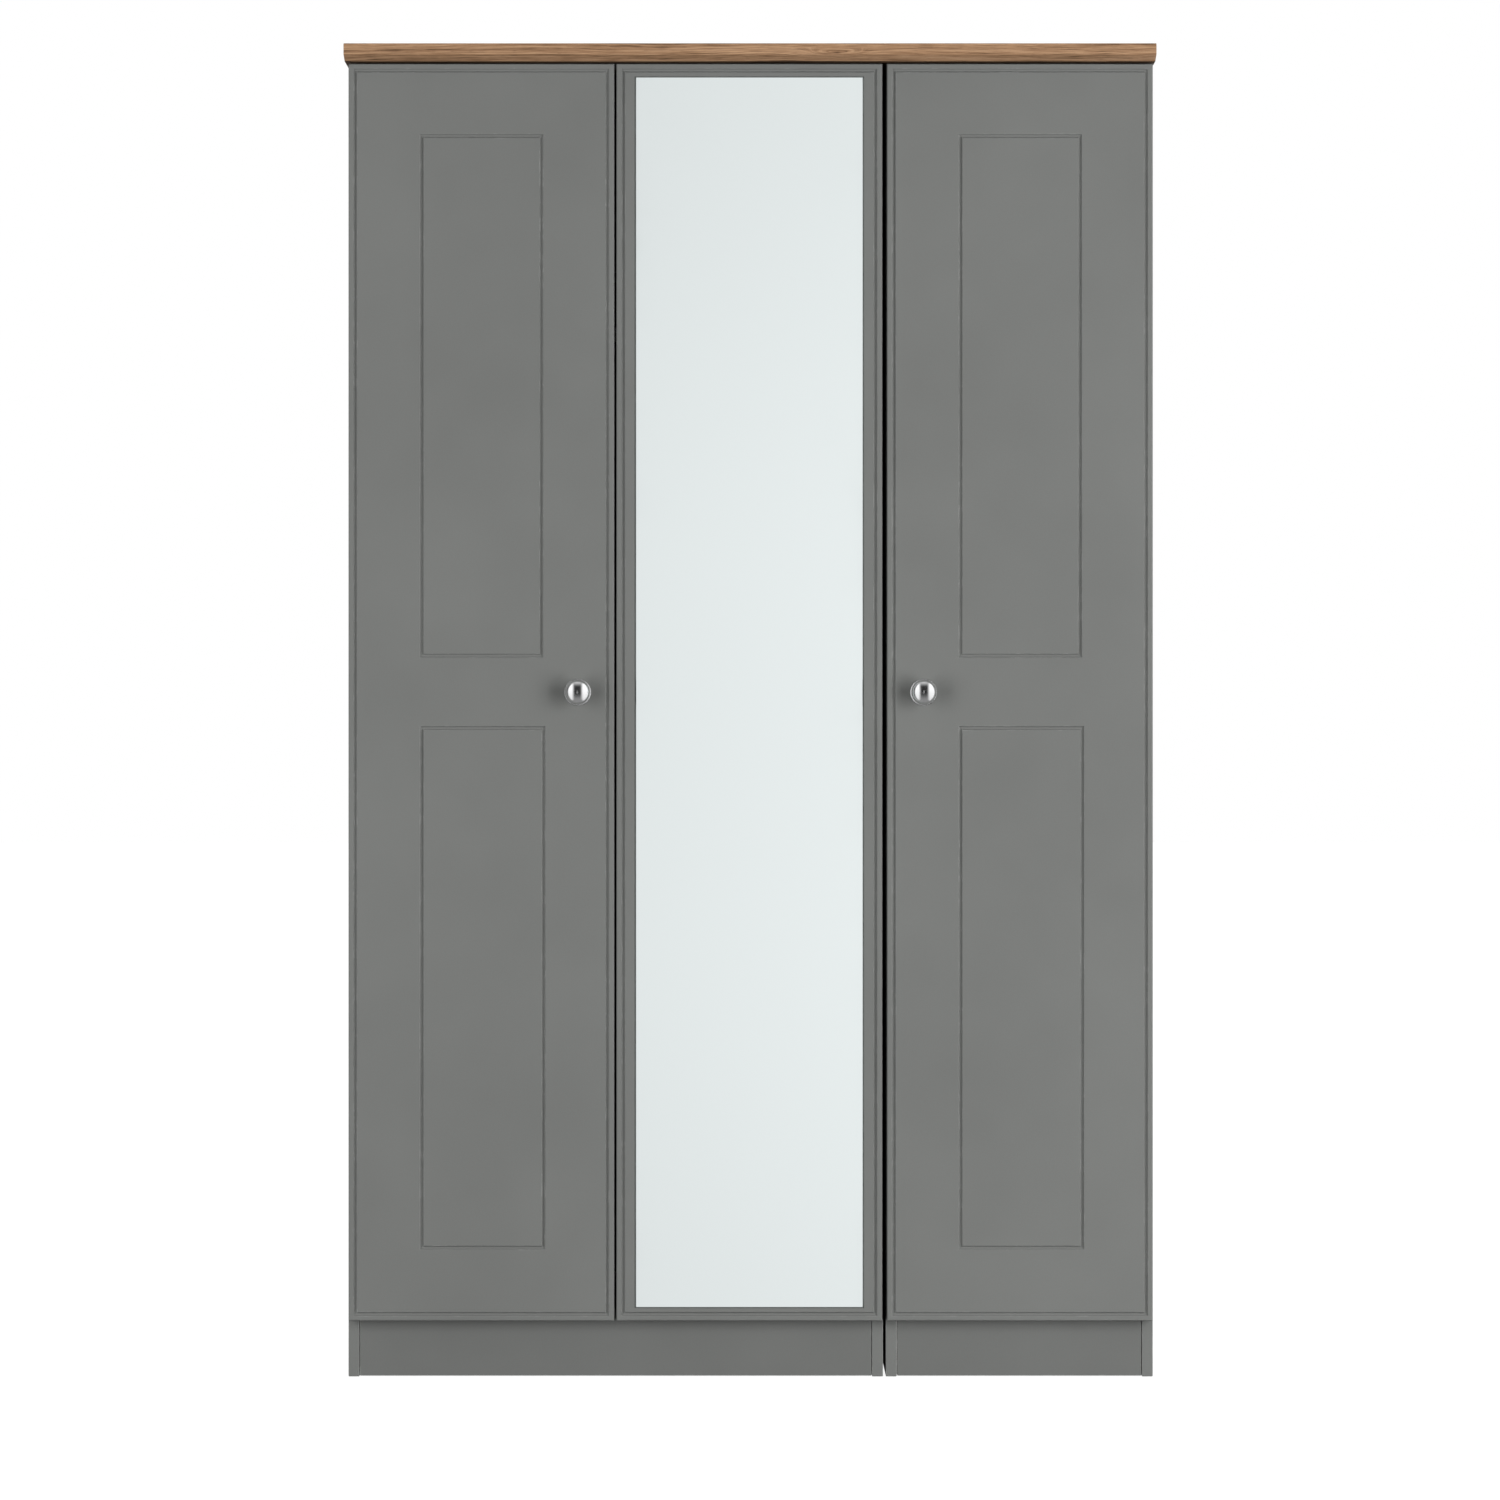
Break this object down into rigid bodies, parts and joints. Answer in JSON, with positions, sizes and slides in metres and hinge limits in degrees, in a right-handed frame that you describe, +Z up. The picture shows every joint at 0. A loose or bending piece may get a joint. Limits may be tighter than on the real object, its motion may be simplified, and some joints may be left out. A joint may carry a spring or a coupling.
{
  "type": "wardrobe",
  "caption": "Tall hinged-door wardrobe on a plinth, with a mirror door, ball knobs, hanging rails and hat shelves under one shared top board.",
  "frame": {"origin": "centre of the footprint, on the floor", "axes": "+Z up, the doors face -Y, +X to the right seen from the front"},
  "size_m": [1.11, 0.559, 1.8235],
  "materials": {
    "grey_board": "matt grey laminate",
    "grey_door": "matt grey foil",
    "oak": "satin oak-effect laminate",
    "hardboard": "lacquered hardboard",
    "mirror": "polished",
    "chrome": "polished",
    "nickel": "nickel plated",
    "plastic": "moulded"
  },
  "bodies": {
    "carcass": {"double_side_left": "grey_board", "double_side_right": "grey_board", "double_base": "grey_board", "double_plinth": "grey_board", "double_top_rail_front": "grey_board", "double_top_rail_back": "grey_board", "double_shelf": "grey_board", "double_back_left": "hardboard", "double_back_right": "hardboard", "double_back_strip": "plastic", "double_hanging_rail": "chrome", "double_rail_socket_left": "plastic", "double_rail_socket_right": "plastic", "single_side_left": "grey_board", "single_side_right": "grey_board", "single_base": "grey_board", "single_plinth": "grey_board", "single_top_rail_front": "grey_board", "single_top_rail_back": "grey_board", "single_shelf": "grey_board", "single_back": "hardboard", "single_hanging_rail": "chrome", "single_rail_socket_left": "plastic", "single_rail_socket_right": "plastic", "top_board": "oak", "left_hinge_bottom_arm": "nickel", "left_hinge_bottom_plate": "nickel", "left_hinge_middle_arm": "nickel", "left_hinge_middle_plate": "nickel", "left_hinge_top_arm": "nickel", "left_hinge_top_plate": "nickel", "mirror_hinge_bottom_arm": "nickel", "mirror_hinge_bottom_plate": "nickel", "mirror_hinge_middle_arm": "nickel", "mirror_hinge_middle_plate": "nickel", "mirror_hinge_top_arm": "nickel", "mirror_hinge_top_plate": "nickel", "right_hinge_bottom_arm": "nickel", "right_hinge_bottom_plate": "nickel", "right_hinge_middle_arm": "nickel", "right_hinge_middle_plate": "nickel", "right_hinge_top_arm": "nickel", "right_hinge_top_plate": "nickel"},
    "left_door": {"left_door": "grey_door", "left_knob": "chrome", "left_knob_screw": "nickel", "left_hinge_bottom_cup": "nickel", "left_hinge_middle_cup": "nickel", "left_hinge_top_cup": "nickel"},
    "mirror_door": {"mirror_door": "grey_door", "mirror_glass": "mirror", "mirror_hinge_bottom_cup": "nickel", "mirror_hinge_middle_cup": "nickel", "mirror_hinge_top_cup": "nickel"},
    "right_door": {"right_door": "grey_door", "right_knob": "chrome", "right_knob_screw": "nickel", "right_hinge_bottom_cup": "nickel", "right_hinge_middle_cup": "nickel", "right_hinge_top_cup": "nickel"}
  },
  "joints": [
    {"name": "left_door_hinge", "type": "hinge", "parent": "carcass", "child": "left_door", "pos_m": [-0.54025, -0.236, 0.9375], "axis": [0, 0, -1], "range_deg": [0, 95]},
    {"name": "mirror_door_hinge", "type": "hinge", "parent": "carcass", "child": "mirror_door", "pos_m": [0.17225, -0.236, 0.9375], "axis": [0, 0, 1], "range_deg": [0, 95]},
    {"name": "right_door_hinge", "type": "hinge", "parent": "carcass", "child": "right_door", "pos_m": [0.542, -0.236, 0.9375], "axis": [0, 0, 1], "range_deg": [0, 95]}
  ]
}
